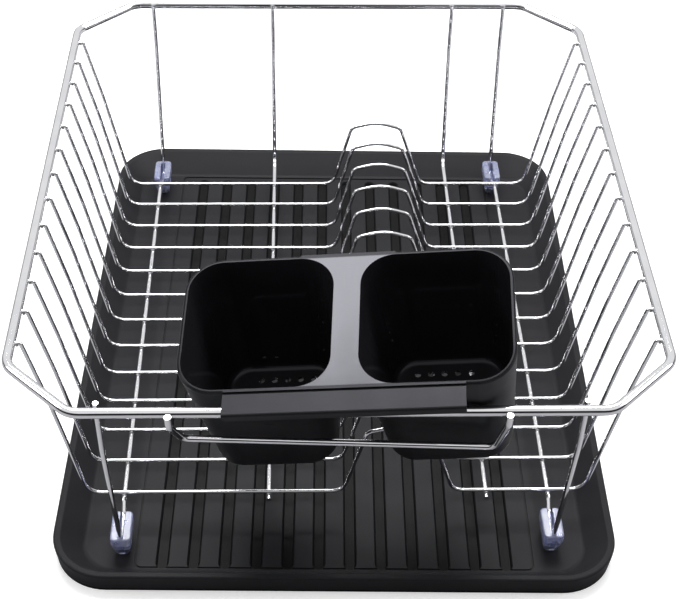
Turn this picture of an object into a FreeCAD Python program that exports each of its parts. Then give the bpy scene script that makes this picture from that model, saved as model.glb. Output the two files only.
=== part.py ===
import FreeCAD, Part
import math
import os
import Sketcher

# Dish drying rack, millimetres.  X runs across the rack (left to right seen
# from the utensil-holder side), Y runs towards the back, Z is up.  The origin
# is on the table at the middle of the drain tray.

V = FreeCAD.Vector
doc = FreeCAD.newDocument("DishRack")
sheet = doc.addObject("Spreadsheet::Sheet", "Dims")

SIZES = {
    # welded wire rack
    "slot_pitch": 25.4,        # spacing of the cross wires
    "cross_wire_dia": 2.4,
    "long_wire_dia": 3.0,
    "rim_dia": 5.8,
    "guard_dia": 3.8,
    "deck_height": 23.4,       # centre line of the cross wires above the table
    "rim_height": 147.1,       # centre line of the rim above the table
    "rim_half_width": 178.5,
    "rim_half_depth": 204.7,
    "rim_cut_x": 37.2,         # corner cut of the octagonal rim along X
    "rim_cut_y": 35.6,         # and along Y
    "rim_bend": 14.0,
    "outer_wire_x": 127.5,
    "inner_wire_left_x": -41.0,
    "inner_wire_right_x": 90.0,
    "weld_sink": 0.15,         # how far touching wires sink into each other
    # clear foot caps
    "foot_y": 175.0,
    "foot_width": 12.0,
    "foot_length": 22.6,
    "foot_tip_width": 8.8,
    "foot_tip_length": 16.8,
    "foot_height": 17.1,
    "foot_slot": 3.3,
    # drain tray
    "tray_turn": -1.16,        # the loose tray lies slightly turned under the rack
    "tray_x": 1.8,
    "tray_half_width": 166.9,
    "tray_half_depth": 210.3,
    "tray_height": 13.4,
    "tray_corner": 34.0,
    "tray_draft": 1.3,
    "tray_floor": 3.0,
    "tray_lip": 4.2,
    "floor_half_width": 149.0,
    "floor_back": 187.5,       # the floor reaches further forwards than back
    "floor_front": 198.4,
    "groove_pitch": 18.5,
    "groove_width": 8.0,
    "groove_depth": 2.0,
    "groove_slope": -32.0,     # the groove sides lean in towards the bottom
    "groove_back": 182.0,
    "groove_front": 195.4,
    "panel_half_width": 118.3,
    "panel_back": 186.0,
    "panel_front": 195.6,
    # two-cup utensil holder, in its own frame with z = 0 on its top rim
    "holder_x": 2.1,
    "holder_y": -160.6,
    "holder_z": 171.8,
    "holder_yaw": -4.9,
    "holder_pitch": -7.6,
    "holder_lean": 13.3,
    "holder_half_width": 89.3,
    "holder_half_depth": 43.15,
    "holder_depth": 92.8,
    "holder_wall": 2.2,
    "holder_corner": 21.0,
    "bridge_half": 7.2,        # half width of the bridge between the two cups
    "drain_hole_dia": 3.6,
    "lip_half_length": 62.6,
    "lip_reach": 57.4,
    "lip_top": 0.4,
    "lip_thickness": 1.9,
    "lip_drop": 5.0,
}
for row, (name, value) in enumerate(SIZES.items(), start=1):
    sheet.set("A%d" % row, name)
    sheet.set("B%d" % row, str(value))
    sheet.setAlias("B%d" % row, name)
workings = doc.addObject("Spreadsheet::Sheet", "Workings")
doc.recompute()
size = dict(SIZES)

parts = []


# ---------------------------------------------------------------- helpers
def new_body(label):
    """An empty body that becomes one named sub-part."""
    body = doc.addObject("PartDesign::Body", label)
    body.Label = label
    parts.append(body)
    return body


def with_sheet(formula):
    """Turn bare names in a formula into spreadsheet references."""
    words = formula.replace("(", " ( ").replace(")", " ) ").split()
    return " ".join("Dims." + w if w in size else w for w in words)


def bind(obj, prop, formula):
    """Drive a property from the spreadsheet; names are written bare."""
    obj.setExpression(prop, with_sheet(formula))


def bind_placement(body, x="0", y="0", z="0"):
    """Drive where a body stands."""
    bind(body, "Placement.Base.x", x)
    bind(body, "Placement.Base.y", y)
    bind(body, "Placement.Base.z", z)


def plane_of(body, role):
    """One of the body's own origin planes."""
    return [o for o in body.Origin.OriginFeatures if o.Role == role][0]


def sketch_on(body, name, role, base=V(0, 0, 0), rotation=FreeCAD.Rotation()):
    """A sketch lying on one of the body's origin planes."""
    sketch = body.newObject("Sketcher::SketchObject", body.Name + "_" + name)
    sketch.AttachmentSupport = [(plane_of(body, role), "")]
    sketch.MapMode = "FlatFace"
    sketch.AttachmentOffset = FreeCAD.Placement(base, rotation)
    return sketch


def add_bound(sketch, formula, *constraint):
    """Add a dimension to a sketch and drive it from the spreadsheet."""
    index = sketch.addConstraint(Sketcher.Constraint(*constraint))
    bind(sketch, "Constraints[%d]" % index, formula)
    return index


def evaluate(formula):
    """Number behind a formula of spreadsheet names."""
    workings.set("A1", "=" + with_sheet(formula))
    workings.recompute()
    return float(workings.get("A1"))


def rounded_rectangle(sketch, left, right, bottom, top, radius):
    """Closed rectangle with round corners; every size is a formula."""
    x0, x1, y0, y1, r = [evaluate(f) for f in (left, right, bottom, top, radius)]
    first = sketch.GeometryCount
    ends = [
        (V(x0 + r, y0, 0), V(x1 - r, y0, 0)),
        (V(x1, y0 + r, 0), V(x1, y1 - r, 0)),
        (V(x1 - r, y1, 0), V(x0 + r, y1, 0)),
        (V(x0, y1 - r, 0), V(x0, y0 + r, 0)),
    ]
    centres = [V(x1 - r, y0 + r, 0), V(x1 - r, y1 - r, 0),
               V(x0 + r, y1 - r, 0), V(x0 + r, y0 + r, 0)]
    for side in range(4):
        sketch.addGeometry(Part.LineSegment(*ends[side]))
        start = math.radians(270 + 90 * side)
        circle = Part.Circle(centres[side], V(0, 0, 1), r)
        sketch.addGeometry(Part.ArcOfCircle(circle, start, start + math.pi / 2))
    for side in range(4):
        line = first + 2 * side
        arc = line + 1
        following = first + (2 * side + 2) % 8
        sketch.addConstraint(Sketcher.Constraint("Tangent", line, 2, arc, 1))
        sketch.addConstraint(Sketcher.Constraint("Tangent", arc, 2, following, 1))
    for line, kind in ((0, "Horizontal"), (2, "Vertical"), (4, "Horizontal"), (6, "Vertical")):
        sketch.addConstraint(Sketcher.Constraint(kind, first + line))
    for arc in (3, 5, 7):
        sketch.addConstraint(Sketcher.Constraint("Equal", first + 1, first + arc))
    add_bound(sketch, radius, "Radius", first + 1, r)
    add_bound(sketch, left, "DistanceX", first + 6, 1, x0)
    add_bound(sketch, right, "DistanceX", first + 2, 1, x1)
    add_bound(sketch, bottom, "DistanceY", first, 1, y0)
    add_bound(sketch, top, "DistanceY", first + 4, 1, y1)


def circle_in(sketch, x, y, diameter):
    """A circle whose diameter follows the spreadsheet."""
    index = sketch.addGeometry(Part.Circle(V(x, y, 0), V(0, 0, 1), size[diameter] / 2))
    add_bound(sketch, diameter + " / 2", "Radius", index, size[diameter] / 2)


def wire_body(label, role, points, radii, diameter, closed=False):
    """Round wire of the given diameter swept along a flat bent path."""
    body = new_body(label)
    path = body.newObject("Sketcher::SketchObject", body.Name + "_path")
    path.AttachmentSupport = [(plane_of(body, role), "")]
    path.MapMode = "FlatFace"
    lift = {"XY_Plane": lambda u, v: V(u, v, 0),
            "XZ_Plane": lambda u, v: V(u, 0, v),
            "YZ_Plane": lambda u, v: V(0, u, v)}[role]
    count = len(points)
    corners = list(range(count)) if closed else list(range(1, count - 1))
    bend = dict(zip(corners, radii))
    flat = [V(u, v, 0) for u, v in points]

    def tangent_points(index):
        here = flat[index]
        if index not in bend:
            return here, here, None
        back = (flat[index - 1] - here).normalize()
        ahead = (flat[(index + 1) % count] - here).normalize()
        half = back.getAngle(ahead) / 2
        reach = bend[index] / math.tan(half)
        middle = here + (back + ahead).normalize() * (bend[index] / math.sin(half) - bend[index])
        return here + back * reach, here + ahead * reach, middle

    runs = list(range(count)) if closed else list(range(count - 1))
    for index in runs:
        following = (index + 1) % count
        start = tangent_points(index)[1]
        stop, leave, middle = tangent_points(following)
        path.addGeometry(Part.LineSegment(start, stop))
        if middle is not None:
            path.addGeometry(Part.Arc(stop, middle, leave))
    doc.recompute()
    edges = ["Edge%d" % (i + 1) for i in range(path.GeometryCount)]

    start = tangent_points(0)[1]
    direction = lift(*(flat[1] - flat[0])[:2])
    turn = FreeCAD.Rotation(V(0, 0, 1), direction)
    section = sketch_on(body, "section", "XY_Plane", lift(start.x, start.y), turn)
    circle_in(section, 0, 0, diameter)
    doc.recompute()

    pipe = body.newObject("PartDesign::AdditivePipe", body.Name + "_wire")
    pipe.Profile = section
    pipe.Spine = (path, edges)
    pipe.Mode = "Frenet" if closed else "Standard"
    doc.recompute()
    return body


def loft(body, kind, name, sketches):
    """Additive or subtractive loft through the sketches in order."""
    feature = body.newObject("PartDesign::" + kind, body.Name + "_" + name)
    feature.Profile = sketches[0]
    feature.Sections = sketches[1:]
    feature.Ruled = True
    doc.recompute()
    return feature


def cut_from(body, sketch, name, depth=None, upward=True):
    """Pocket that is turned round if it did not remove anything."""
    before = body.Shape.Volume
    pocket = body.newObject("PartDesign::Pocket", body.Name + "_" + name)
    pocket.Profile = sketch
    if depth is None:
        pocket.Type = "ThroughAll"
        pocket.Midplane = True
    else:
        bind(pocket, "Length", depth)
    pocket.Reversed = upward
    doc.recompute()
    if abs(before - body.Shape.Volume) < 1e-3:
        pocket.Reversed = not upward
        doc.recompute()
    return pocket


def round_edges(body, name, radius, chosen):
    """Fillet the edges of the tip for which chosen(edge) is true."""
    tip = body.Tip
    names = ["Edge%d" % (i + 1) for i, e in enumerate(tip.Shape.Edges) if chosen(e)]
    fillet = body.newObject("PartDesign::Fillet", body.Name + "_" + name)
    fillet.Base = (tip, names)
    fillet.Radius = radius
    doc.recompute()
    return fillet


def level_at(height):
    """Selects edges that lie level at the given height."""
    return lambda e: abs(e.BoundBox.ZMin - height) < 0.01 and abs(e.BoundBox.ZMax - height) < 0.01


# ---------------------------------------------------------------- wire rack
rim_x = size["rim_half_width"]
rim_y = size["rim_half_depth"]
cut_x = rim_x - size["rim_cut_x"]
cut_y = rim_y - size["rim_cut_y"]
octagon = [(-cut_x, rim_y), (cut_x, rim_y), (rim_x, cut_y), (rim_x, -cut_y),
           (cut_x, -rim_y), (-cut_x, -rim_y), (-rim_x, -cut_y), (-rim_x, cut_y)]
rim = wire_body("rim_bar", "XY_Plane", octagon, [size["rim_bend"]] * 8, "rim_dia", closed=True)
bind_placement(rim, z="rim_height")

# Cross wires: down from the side rim, across the deck, over the plate divider
# hump right of the middle, and up to the other side.  Heights are above the
# deck centre line; each tip turns outwards into the rim.
rim_above_deck = size["rim_height"] - size["deck_height"]
tip_x = rim_x - size["rim_dia"] / 2 - 0.05 + size["weld_sink"]
side = [(tip_x, rim_above_deck + 0.2), (tip_x - 2.6, rim_above_deck + 0.2),
        (163.5, 80.0), (148.7, 0.0)]
hump = [(3.7, 0.0), (16.8, 51.5), (35.0, 56.6), (52.9, 51.0), (69.8, 0.0)]
cross_points = [(-x, z) for x, z in side] + hump + side[::-1]
side_bends = [1.8, 30.0, 10.0]
cross_bends = side_bends + [9.5, 6.0, 30.0, 6.0, 9.5] + side_bends[::-1]
cross_count = 13
for number in range(cross_count):
    wire = wire_body("cross_wire_%02d" % (number + 1), "XZ_Plane",
                     cross_points, cross_bends, "cross_wire_dia")
    steps = (cross_count - 1) // 2 - number
    bind_placement(wire, y="%d * slot_pitch" % steps, z="deck_height")

# Long wires run under the cross wires.  The outer pair forms the four legs,
# each with a V bend that sits in a foot; the inner pair rises at the back only.
run_z = -((size["cross_wire_dia"] + size["long_wire_dia"]) / 2 - size["weld_sink"] - 0.05)
top_y = rim_y - (size["rim_dia"] + size["long_wire_dia"]) / 2 + size["weld_sink"]
leg = [(top_y, rim_above_deck + 3.1), (199.2, 90.0)]
foot_bend = [(182.0, -12.2), (162.5, -8.2), (154.8, run_z)]
outer_half = leg + foot_bend
outer_points = outer_half + [(-y, z) for y, z in outer_half[::-1]]
outer_bends = [40.0, 3.2, 5.0, 5.0]
for label, where in (("outer_long_wire_left", "-outer_wire_x"),
                     ("outer_long_wire_right", "outer_wire_x")):
    wire = wire_body(label, "YZ_Plane", outer_points, outer_bends + outer_bends[::-1],
                     "long_wire_dia")
    bind_placement(wire, x=where.replace("-", "-1 * "), z="deck_height")

inner_points = leg + [(183.4, run_z), (-157.0, run_z)]
for label, where in (("inner_long_wire_left", "inner_wire_left_x"),
                     ("inner_long_wire_right", "inner_wire_right_x")):
    wire = wire_body(label, "YZ_Plane", inner_points, [40.0, 11.0], "long_wire_dia")
    bind_placement(wire, x=where, z="deck_height")


# Guard wire: its ends are welded to the front of the rim, it drops under the
# rim and crosses in front of the two cups, a little lower at the right.
guard_y = -(rim_y + (size["rim_dia"] + size["guard_dia"]) / 2 - size["weld_sink"] - 0.1)
guard_corners = [V(-90.0, guard_y, 148.6), V(-89.6, guard_y, 141.0), V(-84.1, -200.0, 122.7),
                 V(82.3, -199.0, 113.4), V(85.8, guard_y, 141.0), V(86.0, guard_y, 148.6)]
guard_bends = [4.0, 5.0, 5.0, 4.0]


def bent_wire_3d(corners, radii):
    """Edges of straight runs joined by tangent bends through space."""
    edges = []
    start = corners[0]
    for index, radius in enumerate(radii, start=1):
        here = corners[index]
        back = (corners[index - 1] - here).normalize()
        ahead = (corners[index + 1] - here).normalize()
        half = back.getAngle(ahead) / 2
        reach = radius / math.tan(half)
        middle = here + (back + ahead).normalize() * (radius / math.sin(half) - radius)
        edges.append(Part.makeLine(start, here + back * reach))
        edges.append(Part.Arc(here + back * reach, middle, here + ahead * reach).toShape())
        start = here + ahead * reach
    edges.append(Part.makeLine(start, corners[-1]))
    return edges


guard_path = doc.addObject("Part::Feature", "guard_path")
guard_path.Shape = Part.Wire(bent_wire_3d(guard_corners, guard_bends))
guard_ring = doc.addObject("Part::Circle", "guard_ring")
bind(guard_ring, "Radius", "guard_dia / 2")
guard_ring.Placement = FreeCAD.Placement(
    guard_corners[0], FreeCAD.Rotation(V(0, 0, 1), guard_corners[1] - guard_corners[0]))
guard = doc.addObject("Part::Sweep", "holder_guard_wire")
guard.Label = "holder_guard_wire"
guard.Sections = [guard_ring]
guard.Spine = (guard_path, ["Edge%d" % (i + 1) for i in range(len(guard_path.Shape.Edges))])
guard.Solid = True
guard.Frenet = False
parts.append(guard)
doc.recompute()

# ---------------------------------------------------------------- foot caps
# A cap stands on the tray floor and is slotted from the top so that the V bend
# of a leg drops into it.  Local y points outwards; heights are above the deck.
foot_top = -3.3
foot_waist = -9.0
slot_side = [(-13.0, foot_top + 2.0), (-13.0, -10.9), (7.6, -15.0), (9.6, -13.6),
             (9.9, foot_top + 2.0)]


def foot_cap(label, x_side, y_side):
    """One clear cap; y_side -1 turns it to face the front."""
    body = new_body(label)
    sections = []
    for name, height, width, length, radius in (
            ("top", foot_top, "foot_width", "foot_length", "2.6"),
            ("waist", foot_waist, "foot_width + 0.5", "foot_length + 0.4", "3.2"),
            ("tip", foot_top - size["foot_height"], "foot_tip_width", "foot_tip_length", "3.6")):
        sketch = sketch_on(body, name, "XY_Plane", V(0, 0, height))
        w = "( %s ) / 2" % width
        n = "( %s ) / 2" % length
        rounded_rectangle(sketch, "-1 * " + w, w, "-1 * " + n, n, radius)
        sections.append(sketch)
    doc.recompute()
    loft(body, "AdditiveLoft", "cap", sections)
    round_edges(body, "top_round", 1.1, level_at(foot_top))
    round_edges(body, "tip_round", 1.6, level_at(foot_top - size["foot_height"]))

    slot = sketch_on(body, "slot", "YZ_Plane")
    for index, corner in enumerate(slot_side):
        following = slot_side[(index + 1) % len(slot_side)]
        slot.addGeometry(Part.LineSegment(V(*corner, 0), V(*following, 0)))
    doc.recompute()
    pocket = body.newObject("PartDesign::Pocket", body.Name + "_slot_cut")
    pocket.Profile = slot
    pocket.Midplane = True
    bind(pocket, "Length", "foot_slot")

    slit = sketch_on(body, "slit", "XZ_Plane", V(0, 0, -7.5))
    rounded_rectangle(slit, "-1.7", "1.7", "-18.6", "-17.5", "0.5")
    doc.recompute()
    cut_from(body, slit, "slit_cut", "4", upward=False)
    if y_side < 0:
        body.Placement.Rotation = FreeCAD.Rotation(V(0, 0, 1), 180)
    bind_placement(body, x="%d * outer_wire_x" % x_side, y="%d * foot_y" % y_side,
                   z="deck_height")
    return body


foot_cap("foot_front_left", -1, -1)
foot_cap("foot_front_right", 1, -1)
foot_cap("foot_back_left", -1, 1)
foot_cap("foot_back_right", 1, 1)

# ---------------------------------------------------------------- drain tray
tray = new_body("drain_tray")


def tray_outline(sketch, half_width, back, radius, front=None):
    """Rounded rectangle on the tray; front is as far out as back unless given."""
    rounded_rectangle(sketch, "-1 * ( %s )" % half_width, half_width,
                      "-1 * ( %s )" % (front or back), back, radius)


def tray_section(name, height, half_width, back, radius, front=None):
    """Level rounded outline of the tray at a height."""
    sketch = sketch_on(tray, name, "XY_Plane")
    bind(sketch, "AttachmentOffset.Base.z", height)
    tray_outline(sketch, half_width, back, radius, front)
    return sketch


outside = [tray_section("foot_outline", "0", "tray_half_width - tray_draft",
                        "tray_half_depth - tray_draft", "tray_corner - tray_draft"),
           tray_section("lip_outline", "tray_height", "tray_half_width",
                        "tray_half_depth", "tray_corner")]
doc.recompute()
loft(tray, "AdditiveLoft", "block", outside)
inside = [tray_section("basin_top", "tray_height", "tray_half_width - tray_lip",
                       "tray_half_depth - tray_lip", "tray_corner - tray_lip"),
          tray_section("basin_floor", "tray_floor", "floor_half_width", "floor_back",
                       "tray_corner - tray_lip - 8", "floor_front")]
doc.recompute()
loft(tray, "SubtractiveLoft", "basin", inside)
round_edges(tray, "basin_round", 5.0, level_at(size["tray_floor"]))
round_edges(tray, "lip_round", 1.3, level_at(size["tray_height"]))

# The wall is hollow underneath, in two steps that follow the slope inside.
for name, inner_gap, front_gap, depth in (("hollow_low", "11.5", "8.0", "5.5"),
                                          ("hollow_high", "7", "5.6", "8.8")):
    ring = tray_section(name, "0", "tray_half_width - tray_draft - 2.4",
                        "tray_half_depth - tray_draft - 2.4", "tray_corner - tray_draft - 2.4")
    tray_outline(ring, "tray_half_width - " + inner_gap, "tray_half_depth - " + inner_gap,
                 "tray_corner - " + inner_gap, "tray_half_depth - " + front_gap)
    doc.recompute()
    cut_from(tray, ring, name + "_cut", depth, upward=True)

frame_line = tray_section("panel_outline", "tray_floor", "panel_half_width",
                          "panel_back", "4", "panel_front")
tray_outline(frame_line, "panel_half_width - 1.4", "panel_back - 1.4", "2.6",
             "panel_front - 1.4")
doc.recompute()
cut_from(tray, frame_line, "panel_line", "0.7", upward=False)

groove = sketch_on(tray, "groove", "XY_Plane")
bind(groove, "AttachmentOffset.Base.z", "tray_floor")
rounded_rectangle(groove, "-5.5 * groove_pitch - groove_width / 2",
                  "-5.5 * groove_pitch + groove_width / 2",
                  "-1 * groove_front", "groove_back", "groove_width / 2 - 0.05")
doc.recompute()
groove_cut = cut_from(tray, groove, "groove_cut", "groove_depth", upward=False)
bind(groove_cut, "TaperAngle", "groove_slope * 1 deg")
doc.recompute()
row_of_grooves = tray.newObject("PartDesign::LinearPattern", "drain_tray_grooves")
row_of_grooves.Originals = [groove_cut]
row_of_grooves.Direction = (groove, ["H_Axis"])
row_of_grooves.Occurrences = 12
bind(row_of_grooves, "Length", "11 * groove_pitch")
tray.Tip = row_of_grooves
tray.Placement.Rotation = FreeCAD.Rotation(V(0, 0, 1), 1)
bind(tray, "Placement.Rotation.Angle", "tray_turn * 1 deg")
bind_placement(tray, x="tray_x")
doc.recompute()

# ---------------------------------------------------------------- utensil holder
holder = new_body("utensil_holder")
D = size["holder_depth"]
a = "holder_half_width"
b = "holder_half_depth"
t = "holder_wall"


def cup_section(cup, name, height, gap, side_in, front_in, back_in, radius):
    """Level outline of one cup; cup is -1 for the left and 1 for the right."""
    sketch = sketch_on(holder, name, "XY_Plane")
    bind(sketch, "AttachmentOffset.Base.z", height)
    outer = "( %s - %s )" % (a, side_in)
    left, right = ("-1 * " + outer, "-1 * ( %s )" % gap) if cup < 0 else (gap, outer)
    rounded_rectangle(sketch, left, right, "-1 * ( %s - %s )" % (b, front_in),
                      "%s - %s" % (b, back_in), radius)
    return sketch


for cup, word in ((-1, "left"), (1, "right")):
    shell = [cup_section(cup, word + "_rim", "0", "bridge_half - holder_wall",
                         "0", "0", "0", "holder_corner"),
             cup_section(cup, word + "_base", "-1 * holder_depth", "14.3",
                         "4.9", "5.8", "11.2", "17")]
    doc.recompute()
    loft(holder, "AdditiveLoft", word + "_shell", shell)
round_edges(holder, "base_round", 7.0, level_at(-D))
outer_rim = size["holder_half_width"] - 0.01
round_edges(holder, "rim_round", 1.3,
            lambda e: level_at(0)(e) and (e.BoundBox.XMax > outer_rim or e.BoundBox.XMin < -outer_rim
                                          or e.BoundBox.YLength < 0.01))

# Bridge between the cups, level with their rims.
bridge = sketch_on(holder, "bridge", "XY_Plane")
rounded_rectangle(bridge, "-26", "26", "-1 * " + b, b, "0.5")
doc.recompute()
bridge_pad = holder.newObject("PartDesign::Pad", "utensil_holder_bridge_pad")
bridge_pad.Profile = bridge
bridge_pad.Length = 7.0
bridge_pad.Reversed = True
doc.recompute()

# Hook over the rim bar: a flat lip with a short turned-down edge.
hook = sketch_on(holder, "hook", "YZ_Plane", V(0, 0, 0))
reach = size["lip_reach"]
top = size["lip_top"]
under = top - size["lip_thickness"]
drop = top - size["lip_drop"]
profile = [(-size["holder_half_depth"] + 1.6, top), (-reach, top), (-reach, drop),
           (-reach + 1.7, drop), (-reach + 1.7, under), (-size["holder_half_depth"] + 1.6, under)]
for index, corner in enumerate(profile):
    hook.addGeometry(Part.LineSegment(V(*corner, 0), V(*profile[(index + 1) % 6], 0)))
doc.recompute()
hook_pad = holder.newObject("PartDesign::Pad", "utensil_holder_hook_pad")
hook_pad.Profile = hook
hook_pad.Midplane = True
bind(hook_pad, "Length", "2 * lip_half_length")
doc.recompute()
round_edges(holder, "hook_round", 1.4,
            lambda e: abs(e.BoundBox.YMin + reach) < 0.01 and abs(e.BoundBox.YMax + reach) < 0.01
            and e.BoundBox.XLength > 50 and e.BoundBox.ZMin > top - 0.1)

# Cup insides, open at the top.
for cup, word in ((-1, "left"), (1, "right")):
    room = [cup_section(cup, word + "_mouth", "0.001", "bridge_half", t, t, t,
                        "holder_corner - holder_wall"),
            cup_section(cup, word + "_floor", "-1 * holder_depth + holder_wall", "16.6",
                        "7.1", "8", "13.4", "14.8")]
    doc.recompute()
    loft(holder, "SubtractiveLoft", word + "_room", room)
round_edges(holder, "floor_round", 4.0, level_at(-D + size["holder_wall"]))

# Groove that sets the hook off from the raised rim line.
seam = sketch_on(holder, "seam", "XY_Plane", V(0, 0, top))
rounded_rectangle(seam, "-1 * lip_half_length", "lip_half_length",
                  "-1 * ( %s + 1.4 )" % b, "-1 * %s + 0.3" % b, "0.3")
doc.recompute()
cut_from(holder, seam, "seam_cut", "1.2", upward=False)

# Drain holes through both cup floors, five across and seven deep.
holes = sketch_on(holder, "drain_holes", "XY_Plane", V(0, 0, -D + 4))
hole_pitch_x = 7.8
hole_pitch_y = 6.6
for middle in (-46.4, 46.4):
    for column in range(-2, 3):
        for line in range(7):
            circle_in(holes, middle + column * hole_pitch_x, 20.2 - line * hole_pitch_y,
                      "drain_hole_dia")
doc.recompute()
cut_from(holder, holes, "drain_hole_cut", "8", upward=False)

# Two small moulding recesses on the front wall under the hook.
marks = sketch_on(holder, "marks", "XZ_Plane", V(0, 0, size["holder_half_depth"] - 1.4))
for x in (-44.5, 44.5):
    rounded_rectangle(marks, str(x - 2.6), str(x + 2.6), "-37.6", "-36", "0.5")
doc.recompute()
cut_from(holder, marks, "mark_cut", "1", upward=False)
holder.Placement.Rotation = FreeCAD.Rotation(
    size["holder_yaw"], size["holder_pitch"], size["holder_lean"])
bind_placement(holder, "holder_x", "holder_y", "holder_z")
doc.recompute()

# ---------------------------------------------------------------- check and write
for obj in doc.Objects:
    if "Invalid" in obj.State or "Error" in obj.State:
        raise RuntimeError("%s did not build: %s" % (obj.Name, obj.State))
os.makedirs("parts", exist_ok=True)
for part in parts:
    shape = part.Shape
    if shape.isNull() or not shape.isValid() or len(shape.Solids) != 1:
        raise RuntimeError("%s has a bad shape: %d solids" % (part.Label, len(shape.Solids)))
    shape.exportStep(os.path.join("parts", part.Label + ".step"))
    box = shape.BoundBox
    print("%-24s %9.1f mm3  x %.1f..%.1f  y %.1f..%.1f  z %.1f..%.1f" % (
        part.Label, shape.Volume, box.XMin, box.XMax, box.YMin, box.YMax, box.ZMin, box.ZMax))
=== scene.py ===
import math

import bmesh
import bpy
from mathutils import Euler, Matrix, Vector


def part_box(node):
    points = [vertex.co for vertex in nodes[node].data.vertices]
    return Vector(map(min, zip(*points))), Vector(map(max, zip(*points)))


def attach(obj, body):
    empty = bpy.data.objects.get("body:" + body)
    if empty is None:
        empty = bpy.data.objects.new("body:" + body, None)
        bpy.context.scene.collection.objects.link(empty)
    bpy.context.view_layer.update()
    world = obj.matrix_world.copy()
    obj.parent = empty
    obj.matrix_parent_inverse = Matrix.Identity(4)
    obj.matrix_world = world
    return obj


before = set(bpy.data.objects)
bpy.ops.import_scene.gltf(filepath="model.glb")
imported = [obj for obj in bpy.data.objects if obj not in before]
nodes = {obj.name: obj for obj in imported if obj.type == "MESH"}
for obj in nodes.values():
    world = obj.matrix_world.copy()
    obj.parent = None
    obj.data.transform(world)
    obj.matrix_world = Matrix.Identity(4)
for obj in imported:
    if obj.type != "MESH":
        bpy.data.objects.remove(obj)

# Dish drying rack: chrome wires, clear feet, black drain tray and utensil holder.
# Everything is in metres, in the CAD frame: +X right, +Y back, +Z up, table at z = 0.

MM = 0.001
scene = bpy.context.scene
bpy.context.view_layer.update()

WIRES = [n for n in nodes if n.startswith(("rim_bar", "cross_wire", "outer_long",
                                           "inner_long", "holder_guard"))]
FEET = [n for n in nodes if n.startswith("foot_")]

# The utensil holder hangs crooked; this is its own frame, with z = 0 on its top rim.
HOLDER_PLACE = Vector((2.1, -160.6, 171.8)) * MM
HOLDER_TURN = Euler([math.radians(angle) for angle in (13.3, -7.6, -4.9)], "XYZ")
HOLDER_TINT = (0.90, 0.90, 1.0, 1.0)      # faint blue sheen
BRIDGE_REACH = 36 * MM                    # how far the bridge's shine goes either side
BRIDGE_FADE = 6 * MM
RIM_FADE_START = 40.4 * MM                # the shine fades across the cups' front and back
RIM_FADE_STOP = 41.2 * MM                 # edges, which lie between these two
BRIDGE_SHINE = 0.42
RIM_SHINE = 0.10

# The holder's sizes from here on are in mm, because dress_holder works in mm.
HOLDER_DEPTH = 92.8
HOLDER_HALF_DEPTH = 43.15
# Inside of a cup: inner and outer x, front and back y, corner radius.
CUP_MOUTH = (7.2, 87.1, -40.95, 40.95, 18.8)
CUP_FLOOR = (16.6, 82.2, -35.15, 29.75, 14.8)
CUP_SKIN = 1.1                            # a face this near to the inside belongs to it
UNDERSIDE_BAND = 1.0                      # a face this near to the underside is outside
EDGE_BAND = 0.2                           # and so is one this near to the top edge
TOP_BAND = 0.3                            # a face within this of z = 0 is on the rim
FACING_UP = 0.8

# The drain tray's colour goes from a painted shade, near black, down in the grooves to the plastic's own
# grey above them, between these heights.
PAINTED_SHADE_FULL_BELOW = 1.2 * MM
PAINTED_SHADE_NONE_ABOVE = 2.9 * MM

# ---------------------------------------------------------------- camera
CAMERA_PLACE = Vector((-0.0226, -0.7083, 0.6767))
CAMERA_YAW = math.radians(2.215)      # turned to the right of straight back
CAMERA_PITCH = math.radians(41.87)    # looking down
CAMERA_ROLL = math.radians(1.287)
SENSOR_WIDTH = 36.0                   # mm
LENS = 74.89                          # mm


def make_camera():
    """The camera, at the photograph's viewing angle."""
    data = bpy.data.cameras.new("camera")
    data.sensor_fit = "HORIZONTAL"
    data.sensor_width = SENSOR_WIDTH
    data.lens = LENS
    data.clip_start = 0.01
    camera = bpy.data.objects.new("camera", data)
    scene.collection.objects.link(camera)
    ahead = Vector((math.sin(CAMERA_YAW) * math.cos(CAMERA_PITCH),
                    math.cos(CAMERA_YAW) * math.cos(CAMERA_PITCH),
                    -math.sin(CAMERA_PITCH)))
    level = Vector((math.cos(CAMERA_YAW), -math.sin(CAMERA_YAW), 0.0))
    upright = level.cross(ahead)
    right = math.cos(CAMERA_ROLL) * level + math.sin(CAMERA_ROLL) * upright
    up = -math.sin(CAMERA_ROLL) * level + math.cos(CAMERA_ROLL) * upright
    turn = Matrix((right, up, -ahead)).transposed()
    camera.matrix_world = Matrix.Translation(CAMERA_PLACE) @ turn.to_4x4()
    scene.camera = camera


# ---------------------------------------------------------------- materials
def new_material(name, **sockets):
    """A Principled material; each keyword sets one of the shader's own sockets."""
    made = bpy.data.materials.new(name)
    made.use_nodes = True
    shader = made.node_tree.nodes["Principled BSDF"]
    for socket, value in sockets.items():
        shader.inputs[socket.replace("_", " ")].default_value = value
    return made, made.node_tree, shader


def add(tree, kind, **settings):
    """A node with attributes or input values set by name."""
    node = tree.nodes.new("ShaderNode" + kind)
    for key, value in settings.items():
        if hasattr(node, key) and key not in node.inputs:
            setattr(node, key, value)
        else:
            node.inputs[key].default_value = value
    return node


def noise(tree, scale, detail=2.0, stretch=None):
    """Noise in the object's own metres; scale is in waves per metre."""
    place = add(tree, "TexCoord")
    made = add(tree, "TexNoise", Scale=scale, Detail=detail)
    if stretch:
        mapping = add(tree, "Mapping")
        mapping.inputs["Scale"].default_value = stretch
        tree.links.new(place.outputs["Object"], mapping.inputs["Vector"])
        tree.links.new(mapping.outputs["Vector"], made.inputs["Vector"])
    else:
        tree.links.new(place.outputs["Object"], made.inputs["Vector"])
    return made.outputs["Fac"]


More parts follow.
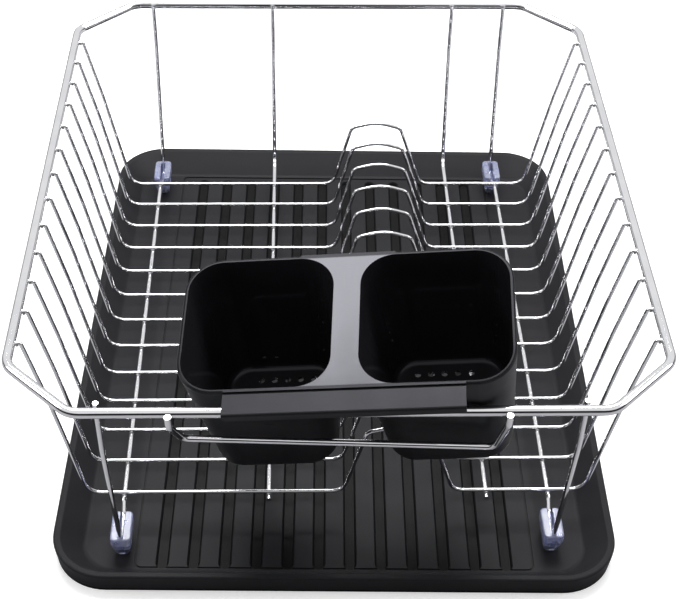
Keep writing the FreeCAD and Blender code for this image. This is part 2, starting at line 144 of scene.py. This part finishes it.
def spread(tree, source, low, high, start=0.3, stop=0.7):
    """Maps start..stop of a pattern onto low..high."""
    made = add(tree, "MapRange")
    for name, value in (("From Min", start), ("From Max", stop),
                        ("To Min", low), ("To Max", high)):
        made.inputs[name].default_value = value
    tree.links.new(source, made.inputs["Value"])
    return made.outputs["Result"]


def two_tone(tree, source, dark, light):
    """Colour that goes from dark to light with the pattern."""
    ramp = add(tree, "ValToRGB")
    ramp.color_ramp.elements[0].position = 0.3
    ramp.color_ramp.elements[1].position = 0.7
    ramp.color_ramp.elements[0].color = (*dark, 1.0)
    ramp.color_ramp.elements[1].color = (*light, 1.0)
    tree.links.new(source, ramp.inputs["Fac"])
    return ramp.outputs["Color"]


def bump(tree, shader, layers):
    """Chains (pattern, strength, depth in metres) into the shader's normal."""
    last = None
    for pattern, strength, depth in layers:
        made = add(tree, "Bump", Strength=strength, Distance=depth)
        tree.links.new(pattern, made.inputs["Height"])
        if last:
            tree.links.new(last, made.inputs["Normal"])
        last = made.outputs["Normal"]
    tree.links.new(last, shader.inputs["Normal"])


def chrome(name, dark, light, rough, lumps):
    """Plated steel: bright, with faint drawing marks and uneven plating."""
    made, tree, shader = new_material(name, Metallic=1.0)
    cloud = noise(tree, 55.0, 3.0)
    fine = noise(tree, 900.0)
    tree.links.new(two_tone(tree, cloud, dark, light), shader.inputs["Base Color"])
    tree.links.new(spread(tree, fine, *rough), shader.inputs["Roughness"])
    bump(tree, shader, [(noise(tree, 120.0), lumps, 0.4 * MM), (fine, 0.06, 0.1 * MM)])
    return made


def tray_plastic():
    """Black moulded plastic with a fine matt grain, with shade painted near black down in the grooves."""
    made, tree, shader = new_material("tray_black_plastic", IOR=1.45,
                                      Specular_IOR_Level=0.10)
    cloud = noise(tree, 14.0, 4.0)
    grain = noise(tree, 1900.0)
    place = add(tree, "TexCoord")
    split = add(tree, "SeparateXYZ")
    tree.links.new(place.outputs["Object"], split.inputs["Vector"])
    # Painted shade: this mask is 0 down in the grooves and 1 above them, and the colour mixes towards
    # near black in the grooves, where shade falls.
    level = spread(tree, split.outputs["Z"], 0.0, 1.0, start=PAINTED_SHADE_FULL_BELOW, stop=PAINTED_SHADE_NONE_ABOVE)
    plain = two_tone(tree, cloud, (0.013, 0.013, 0.015), (0.018, 0.018, 0.020))
    mix = add(tree, "Mix", data_type="RGBA")
    mix.inputs["A"].default_value = (0.002, 0.002, 0.0022, 1.0)
    tree.links.new(level, mix.inputs["Factor"])
    tree.links.new(plain, mix.inputs["B"])
    tree.links.new(mix.outputs["Result"], shader.inputs["Base Color"])
    tree.links.new(spread(tree, cloud, 0.42, 0.50), shader.inputs["Roughness"])
    bump(tree, shader, [(grain, 0.30, 0.2 * MM)])
    return made


def black_plastic(name, dark, light, rough, grain, shine):
    """Black moulded plastic of the utensil holder, slightly wavy, with wipe marks."""
    made, tree, shader = new_material(name, IOR=1.5, Specular_IOR_Level=shine,
                                      Specular_Tint=HOLDER_TINT)
    cloud = noise(tree, 24.0, 4.0)
    wipes = noise(tree, 60.0, 3.0, stretch=(1.0, 0.25, 1.0))
    tree.links.new(two_tone(tree, cloud, dark, light), shader.inputs["Base Color"])
    tree.links.new(spread(tree, wipes, *rough), shader.inputs["Roughness"])
    bump(tree, shader, [(cloud, 0.05, 2.0 * MM), (noise(tree, 1500.0), grain, 0.1 * MM)])
    return made, tree, shader


def dull_rim(tree, shader):
    """Keeps the full shine on the bridge and takes most of it off the rim round the cups."""
    place = add(tree, "TexCoord")
    local = add(tree, "Mapping", vector_type="TEXTURE")
    local.inputs["Location"].default_value = HOLDER_PLACE
    local.inputs["Rotation"].default_value = HOLDER_TURN
    tree.links.new(place.outputs["Object"], local.inputs["Vector"])
    split = add(tree, "SeparateXYZ")
    tree.links.new(local.outputs["Vector"], split.inputs["Vector"])
    across = add(tree, "Math", operation="ABSOLUTE")
    tree.links.new(split.outputs["X"], across.inputs[0])
    along = add(tree, "Math", operation="ABSOLUTE")
    tree.links.new(split.outputs["Y"], along.inputs[0])
    near_middle = spread(tree, across.outputs["Value"], 1.0, 0.0,
                         start=BRIDGE_REACH, stop=BRIDGE_REACH + BRIDGE_FADE)
    off_edges = spread(tree, along.outputs["Value"], 1.0, 0.0,
                       start=RIM_FADE_START, stop=RIM_FADE_STOP)
    on_bridge = add(tree, "Math", operation="MULTIPLY")
    tree.links.new(near_middle, on_bridge.inputs[0])
    tree.links.new(off_edges, on_bridge.inputs[1])
    tree.links.new(spread(tree, on_bridge.outputs["Value"], RIM_SHINE, BRIDGE_SHINE,
                          start=0.0, stop=1.0), shader.inputs["Specular IOR Level"])


def clear_plastic():
    """Clear bluish plastic of the foot caps."""
    made, tree, shader = new_material("foot_clear_plastic", IOR=1.47,
                                      Transmission_Weight=0.7)
    cloud = noise(tree, 180.0, 3.0)
    tree.links.new(two_tone(tree, cloud, (0.54, 0.58, 0.90), (0.76, 0.80, 0.98)),
                   shader.inputs["Base Color"])
    tree.links.new(spread(tree, cloud, 0.06, 0.16), shader.inputs["Roughness"])
    bump(tree, shader, [(noise(tree, 420.0), 0.12, 0.3 * MM)])
    return made


def dress(names, made):
    """Gives CAD nodes a material in every slot."""
    for name in names:
        data = nodes[name].data
        data.materials.clear()
        data.materials.append(made)


def outline_distance(x, y, half_x, half_y, corner):
    """Signed distance from a rounded rectangle about the origin; negative inside."""
    over_x = abs(x) - half_x + corner
    over_y = abs(y) - half_y + corner
    return math.hypot(max(over_x, 0.0), max(over_y, 0.0)) + min(max(over_x, over_y), 0.0) - corner


def in_cup(point):
    """Whether a point in the holder's own frame, in mm, is on the inside of a cup."""
    depth = -point.z / HOLDER_DEPTH
    inner_x, outer_x, front_y, back_y, corner = (
        mouth + (end - mouth) * depth for mouth, end in zip(CUP_MOUTH, CUP_FLOOR))
    away = outline_distance(abs(point.x) - (inner_x + outer_x) / 2,
                            point.y - (front_y + back_y) / 2,
                            (outer_x - inner_x) / 2, (back_y - front_y) / 2, corner)
    return away < CUP_SKIN and UNDERSIDE_BAND - HOLDER_DEPTH < point.z < -EDGE_BAND


def dress_holder():
    """Glossy bridge and rim, satin walls and hook, and glossy cup insides painted a lighter colour, which
    stands in for light that hardly reaches into the cups.
    """
    gloss_top, tree, shader = black_plastic(
        "holder_gloss_top", dark=(0.004, 0.004, 0.005), light=(0.008, 0.008, 0.009),
        rough=(0.13, 0.20), grain=0.05, shine=BRIDGE_SHINE)
    dull_rim(tree, shader)
    # Painted light: the cup insides get a lighter colour than the rest of the holder, in place of the
    # light that hardly reaches into them.
    inside_painted_light = black_plastic(
        "holder_inside_painted_light", dark=(0.013, 0.012, 0.014), light=(0.018, 0.017, 0.020),
        rough=(0.04, 0.08), grain=0.02, shine=0.26)[0]
    satin_outside = black_plastic(
        "holder_satin_outside", dark=(0.006, 0.006, 0.007), light=(0.010, 0.010, 0.011),
        rough=(0.36, 0.44), grain=0.25, shine=0.24)[0]
    holder = nodes["utensil_holder"].data
    holder.materials.clear()
    for made in (gloss_top, inside_painted_light, satin_outside):
        holder.materials.append(made)
    on_top, inside, outside = range(3)
    to_holder = (Matrix.Translation(HOLDER_PLACE) @ HOLDER_TURN.to_matrix().to_4x4()).inverted()
    for polygon in holder.polygons:
        point = (to_holder @ polygon.center) / MM
        facing = (to_holder.to_3x3() @ polygon.normal).z
        # The cup insides take the material with the painted light.
        if in_cup(point):
            polygon.material_index = inside
        elif facing > FACING_UP and abs(point.z) < TOP_BAND and point.y > -HOLDER_HALF_DEPTH:
            polygon.material_index = on_top
        else:
            polygon.material_index = outside


# ---------------------------------------------------------------- weld beads
CROSSING_BEAD = Vector((1.9, 1.9, 0.9)) * MM     # half sizes of a bead under a cross wire
RIM_BEAD = Vector((1.2, 1.9, 1.7)) * MM          # and of one where a tip meets the rim
CROSSING_RISE = 0.2 * MM                         # bead's middle above the cross wire's lowest line
TIP_INSET = 0.9 * MM                             # bead's middle in from the wire's tip
TIP_DROP = 1.6 * MM
BEAD_LUMPS = 0.10
SEED_STEP = 1.7


def bead(mesh, centre, half_size, seed):
    """One small uneven lump of weld metal."""
    made = bmesh.ops.create_icosphere(mesh, subdivisions=2, radius=1.0)
    for vertex in made["verts"]:
        swell = 1.0 + BEAD_LUMPS * math.sin(3.1 * vertex.co.x + seed) * math.cos(2.3 * vertex.co.y + seed)
        vertex.co = centre + vertex.co * swell * half_size


def weld_beads():
    """Beads where a cross wire rests on a long wire and where its tips meet the rim."""
    mesh = bmesh.new()
    seed = 0.0
    longs = [n for n in nodes if "long_wire" in n]
    for cross in sorted(n for n in nodes if n.startswith("cross_wire")):
        low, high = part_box(cross)
        y = (low[1] + high[1]) / 2
        for long_wire in longs:
            start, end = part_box(long_wire)
            x = (start[0] + end[0]) / 2
            seed += SEED_STEP
            bead(mesh, Vector((x, y, low[2] + CROSSING_RISE)), CROSSING_BEAD, seed)
        for x in (low[0] + TIP_INSET, high[0] - TIP_INSET):
            seed += SEED_STEP
            bead(mesh, Vector((x, y, high[2] - TIP_DROP)), RIM_BEAD, seed)
    data = bpy.data.meshes.new("weld_beads")
    mesh.to_mesh(data)
    mesh.free()
    for face in data.polygons:
        face.use_smooth = True
    made = bpy.data.objects.new("weld_beads", data)
    scene.collection.objects.link(made)
    return made


# ---------------------------------------------------------------- studio
FLOOR_REACH = 6.0
FLOOR_DROP = 0.2 * MM                            # keeps the floor clear of the tray's underside
FLOOR_IN_WIRE = (0.30, 0.30, 0.31)               # the floor as polished wire sees it
FLOOR_GLOW = 0.35                                # only in the picture, to thin the shadow
SKY_TILT = (0.0, 0.35, 1.0)                      # the sky brightens in this direction
SKY_DARK = (0.20, (0.012, 0.012, 0.014, 1.0))    # place along the tilt, and colour
SKY_BRIGHT = (0.50, (0.80, 0.80, 0.80, 1.0))
BACKDROP = (0.93, 0.93, 0.93)
LIGHTS_AIM = (0.0, 0.0, 0.05)


def seen_or_lit(tree, ray, usual, special):
    """Backdrop colour that differs for one kind of ray, as cards do in a photo studio."""
    path = add(tree, "LightPath")
    mix = add(tree, "Mix", data_type="RGBA")
    mix.inputs["B"].default_value = (*special, 1.0)
    tree.links.new(path.outputs[ray], mix.inputs["Factor"])
    tree.links.new(usual, mix.inputs["A"])
    return mix.outputs["Result"]


def floor():
    """Pale floor under the object; polished wire sees it dim, as it would black cards."""
    data = bpy.data.meshes.new("floor")
    corners = [(-1, -1), (1, -1), (1, 1), (-1, 1)]
    data.from_pydata([(x * FLOOR_REACH, y * FLOOR_REACH, -FLOOR_DROP) for x, y in corners],
                     [], [(0, 1, 2, 3)])
    made = bpy.data.objects.new("floor", data)
    scene.collection.objects.link(made)
    look, tree, shader = new_material("floor_white", Roughness=0.7)
    pale = two_tone(tree, noise(tree, 3.0), (0.92, 0.92, 0.92), (0.94, 0.94, 0.94))
    tree.links.new(seen_or_lit(tree, "Is Glossy Ray", pale, FLOOR_IN_WIRE),
                   shader.inputs["Base Color"])
    path = add(tree, "LightPath")
    shader.inputs["Emission Color"].default_value = (1.0, 1.0, 1.0, 1.0)
    tree.links.new(spread(tree, path.outputs["Is Camera Ray"], 0.0, FLOOR_GLOW,
                          start=0.0, stop=1.0), shader.inputs["Emission Strength"])
    data.materials.append(look)


def softbox(name, place, width, height, radiance):
    """Rectangular area light of a given brightness that faces the object."""
    data = bpy.data.lights.new(name, "AREA")
    data.shape = "RECTANGLE"
    data.size = width
    data.size_y = height
    data.energy = radiance * math.pi * width * height
    made = bpy.data.objects.new(name, data)
    made.location = place
    made.rotation_euler = (Vector(LIGHTS_AIM) - Vector(place)).to_track_quat("-Z", "Y").to_euler()
    scene.collection.objects.link(made)


def studio():
    """Soft light from overhead boxes under a sky that is dark low down and in front."""
    world = bpy.data.worlds.new("studio")
    world.use_nodes = True
    tree = world.node_tree
    sky = tree.nodes["Background"]
    place = add(tree, "TexCoord")
    tilt = add(tree, "VectorMath", operation="DOT_PRODUCT")
    tilt.inputs[1].default_value = SKY_TILT
    ramp = add(tree, "ValToRGB")
    for element, (position, color) in zip(ramp.color_ramp.elements, (SKY_DARK, SKY_BRIGHT)):
        element.position = position
        element.color = color
    tree.links.new(place.outputs["Generated"], tilt.inputs[0])
    tree.links.new(tilt.outputs["Value"], ramp.inputs["Fac"])
    tree.links.new(seen_or_lit(tree, "Is Camera Ray", ramp.outputs["Color"], BACKDROP),
                   sky.inputs["Color"])
    sky.inputs["Strength"].default_value = 1.0
    scene.world = world
    softbox("top_box", (0.0, 0.62, 1.45), width=1.2, height=0.7, radiance=12.0)
    softbox("left_box", (-1.5, -0.1, 1.0), width=0.5, height=0.9, radiance=4.0)
    softbox("right_box", (1.5, -0.1, 1.0), width=0.5, height=0.9, radiance=4.0)
    scene.view_settings.view_transform = "Standard"


# ---------------------------------------------------------------- build
make_camera()
studio()
floor()

dress(WIRES, chrome("wire_chrome", dark=(0.86, 0.86, 0.89), light=(0.94, 0.94, 0.96),
                    rough=(0.03, 0.07), lumps=0.03))
dress(FEET, clear_plastic())
dress(["drain_tray"], tray_plastic())
dress_holder()

beads = weld_beads()
beads.data.materials.append(chrome("weld_chrome", dark=(0.42, 0.42, 0.43), light=(0.70, 0.70, 0.71),
                                   rough=(0.16, 0.34), lumps=0.30))
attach(beads, "rack")

bpy.context.view_layer.update()
